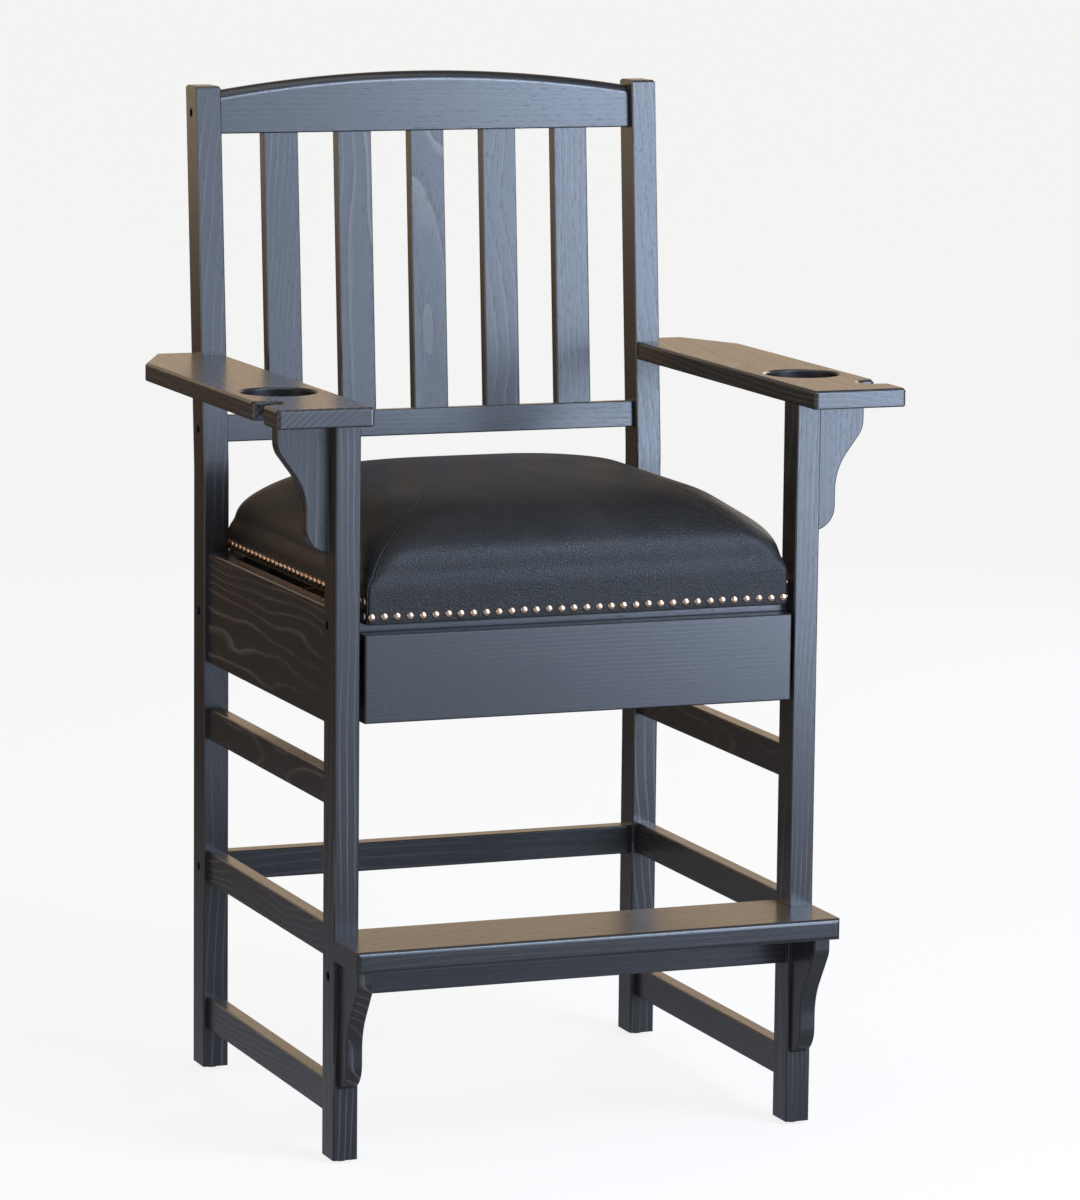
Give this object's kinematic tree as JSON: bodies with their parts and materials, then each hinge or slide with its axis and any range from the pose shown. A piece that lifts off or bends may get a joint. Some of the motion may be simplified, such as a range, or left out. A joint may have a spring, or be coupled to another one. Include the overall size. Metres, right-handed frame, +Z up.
{
  "type": "bar height chair",
  "caption": "Tall wooden armchair for watching games: slatted raked back, domed leather seat with nail trim, drawer, drink recess and cue notch in each arm, and a footrest.",
  "frame": {"origin": "on the floor, under the middle of the chair's overall box", "axes": "+Z up, -Y towards the sitter's front (footrest side), +X to the right seen from the front"},
  "size_m": [0.774, 0.6443, 1.2211],
  "materials": {
    "stained_ash": "satin",
    "leather": "satin",
    "brass_trim": "polished",
    "foam": "matte",
    "plywood": "matte",
    "inner_wood": "matte",
    "beech": "matte",
    "steel": "satin",
    "glide_plastic": "matte"
  },
  "bodies": {
    "frame": {"arm_bracket_left": "stained_ash", "arm_bracket_pegs": "beech", "arm_bracket_right": "stained_ash", "arm_left": "stained_ash", "arm_pegs": "beech", "arm_right": "stained_ash", "back_post_left": "stained_ash", "back_post_right": "stained_ash", "back_slat_1": "stained_ash", "back_slat_2": "stained_ash", "back_slat_3": "stained_ash", "back_slat_4": "stained_ash", "back_slat_5": "stained_ash", "barrel_nuts": "steel", "corner_block_front_left": "inner_wood", "corner_block_front_right": "inner_wood", "corner_block_rear_left": "inner_wood", "corner_block_rear_right": "inner_wood", "crest_rail": "stained_ash", "drawer_runner_left": "inner_wood", "drawer_runner_right": "inner_wood", "footrest_board": "stained_ash", "footrest_bracket_left": "stained_ash", "footrest_bracket_pegs": "beech", "footrest_bracket_right": "stained_ash", "footrest_screws": "steel", "frame_bolts": "steel", "front_leg_left": "stained_ash", "front_leg_right": "stained_ash", "front_seat_rail": "stained_ash", "front_stretcher": "stained_ash", "leg_glides": "glide_plastic", "lower_back_rail": "stained_ash", "lower_side_stretcher_left": "stained_ash", "lower_side_stretcher_right": "stained_ash", "middle_side_stretcher_left": "stained_ash", "middle_side_stretcher_right": "stained_ash", "rail_dowels": "beech", "rear_seat_rail": "stained_ash", "rear_stretcher": "stained_ash", "runner_screws": "steel", "seat_board": "plywood", "seat_foam": "foam", "seat_front_lip": "inner_wood", "seat_leather": "leather", "seat_nailheads": "brass_trim", "seat_screws": "steel", "side_apron_left": "stained_ash", "side_apron_right": "stained_ash", "upper_side_stretcher_left": "stained_ash", "upper_side_stretcher_right": "stained_ash"},
    "drawer": {"drawer_back": "inner_wood", "drawer_bottom": "inner_wood", "drawer_box_front": "inner_wood", "drawer_front": "stained_ash", "drawer_front_screws": "steel", "drawer_side_left": "inner_wood", "drawer_side_right": "inner_wood"}
  },
  "joints": [
    {"name": "drawer_slide", "type": "slide", "parent": "frame", "child": "drawer", "axis": [0, -1, 0], "range_m": [0, 0.26]}
  ]
}
